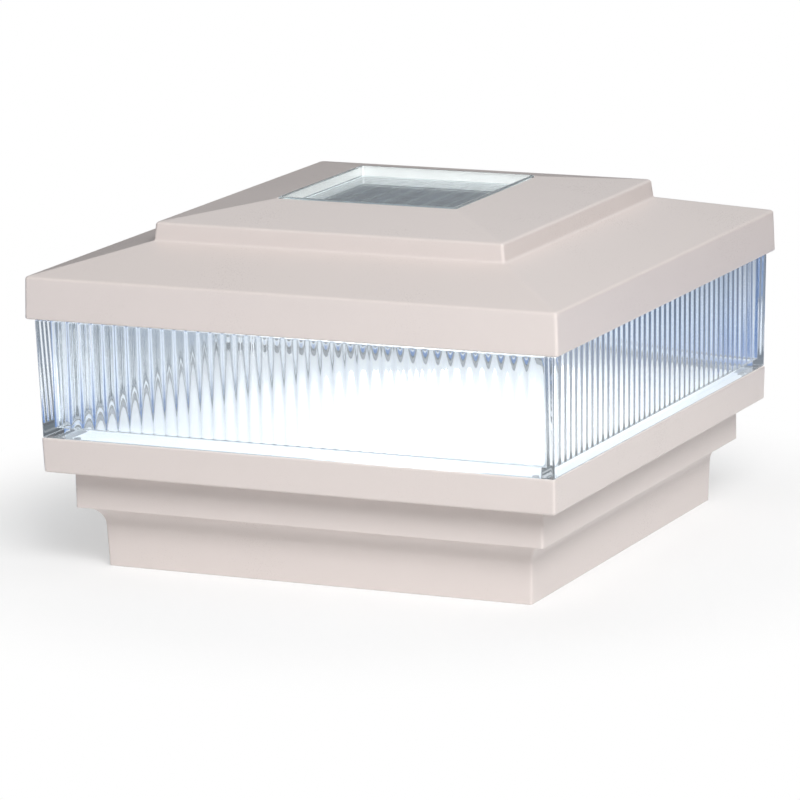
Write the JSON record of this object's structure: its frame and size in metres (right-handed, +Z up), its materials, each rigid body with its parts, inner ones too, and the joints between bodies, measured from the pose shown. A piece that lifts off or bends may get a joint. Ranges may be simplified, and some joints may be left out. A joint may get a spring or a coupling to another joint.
{
  "type": "deck post cap light",
  "caption": "Square solar post cap light: a stepped base slips over a deck post and carries a clear reeded lens band and a low hipped lid with a panel window.",
  "frame": {"origin": "centre of the light's square plan, on the plane of the skirt's bottom edge", "axes": "+Z up, along the post; X and Y square to the sides, with -Y the side whose inside holds the battery door"},
  "size_m": [0.165, 0.165, 0.1036],
  "materials": {
    "tan_plastic": "satin moulded plastic, warm stone colour",
    "clear_lens": "clear moulded acrylic with a faint cool tint",
    "clear_window": "clear moulded acrylic",
    "gasket_rubber": "soft black foam rubber",
    "panel_laminate": "black panel board",
    "solar_cell": "glossy dark blue-black silicon",
    "tinned_ribbon": "tinned flat wire",
    "white_plastic": "white reflector plastic",
    "steel_screw": "stainless steel",
    "white_board": "white solder mask",
    "led_phosphor": "yellow phosphor under clear resin",
    "frosted_diffuser": "frosted translucent plastic, lit from inside",
    "grey_plastic": "mid grey moulded plastic, fine grain",
    "steel_pin": "polished steel",
    "cell_sleeve": "plain green shrink sleeve",
    "nickel_contact": "nickel-plated spring steel",
    "green_board": "green solder mask",
    "switch_black": "black moulded plastic",
    "chip_black": "black moulding resin",
    "ferrite": "dark grey ferrite",
    "copper_wire": "enamelled copper",
    "can_sleeve": "dark shrink sleeve",
    "red_insulation": "red PVC",
    "black_insulation": "black PVC"
  },
  "bodies": {
    "root": {"base_skirt": "tan_plastic", "lens": "clear_lens", "roof_cap": "tan_plastic", "window_gasket": "gasket_rubber", "panel_window": "clear_window", "solar_board": "panel_laminate", "solar_cells": "solar_cell", "cell_ribbons": "tinned_ribbon", "panel_retainer": "white_plastic", "retainer_screws": "steel_screw", "ceiling_reflector": "white_plastic", "cap_screws": "steel_screw", "reflector_floor": "white_plastic", "base_screws": "steel_screw", "lens_screws": "steel_screw", "led_board": "white_board", "led_emitters": "led_phosphor", "led_screws": "steel_screw", "light_dome": "frosted_diffuser", "module_case": "grey_plastic", "module_screws": "steel_screw", "door_pin": "steel_pin", "battery_1": "cell_sleeve", "battery_2": "cell_sleeve", "link_contact": "nickel_contact", "minus_contact": "nickel_contact", "plus_contact": "nickel_contact", "contact_springs": "nickel_contact", "service_plate": "grey_plastic", "service_screws": "steel_screw", "circuit_board": "green_board", "board_screws": "steel_screw", "switch_body": "switch_black", "driver_chip": "chip_black", "inductor_core": "ferrite", "inductor_winding": "copper_wire", "capacitor": "can_sleeve", "wire_sleeve": "white_plastic", "wire_grommet": "gasket_rubber", "solar_lead_red": "red_insulation", "led_lead_red": "red_insulation", "cell_lead_red": "red_insulation", "solar_lead_black": "black_insulation", "led_lead_black": "black_insulation", "cell_lead_black": "black_insulation"},
    "battery_door": {"battery_door": "grey_plastic"},
    "switch_knob": {"switch_knob": "switch_black"}
  },
  "joints": [
    {"name": "battery_door_hinge", "type": "hinge", "parent": "root", "child": "battery_door", "pos_m": [0, -0.0306, 0.0203], "axis": [-1, 0, 0], "range_deg": [0, 100]},
    {"name": "switch_slide", "type": "slide", "parent": "root", "child": "switch_knob", "axis": [1, 0, 0], "range_m": [0, 0.002]}
  ]
}
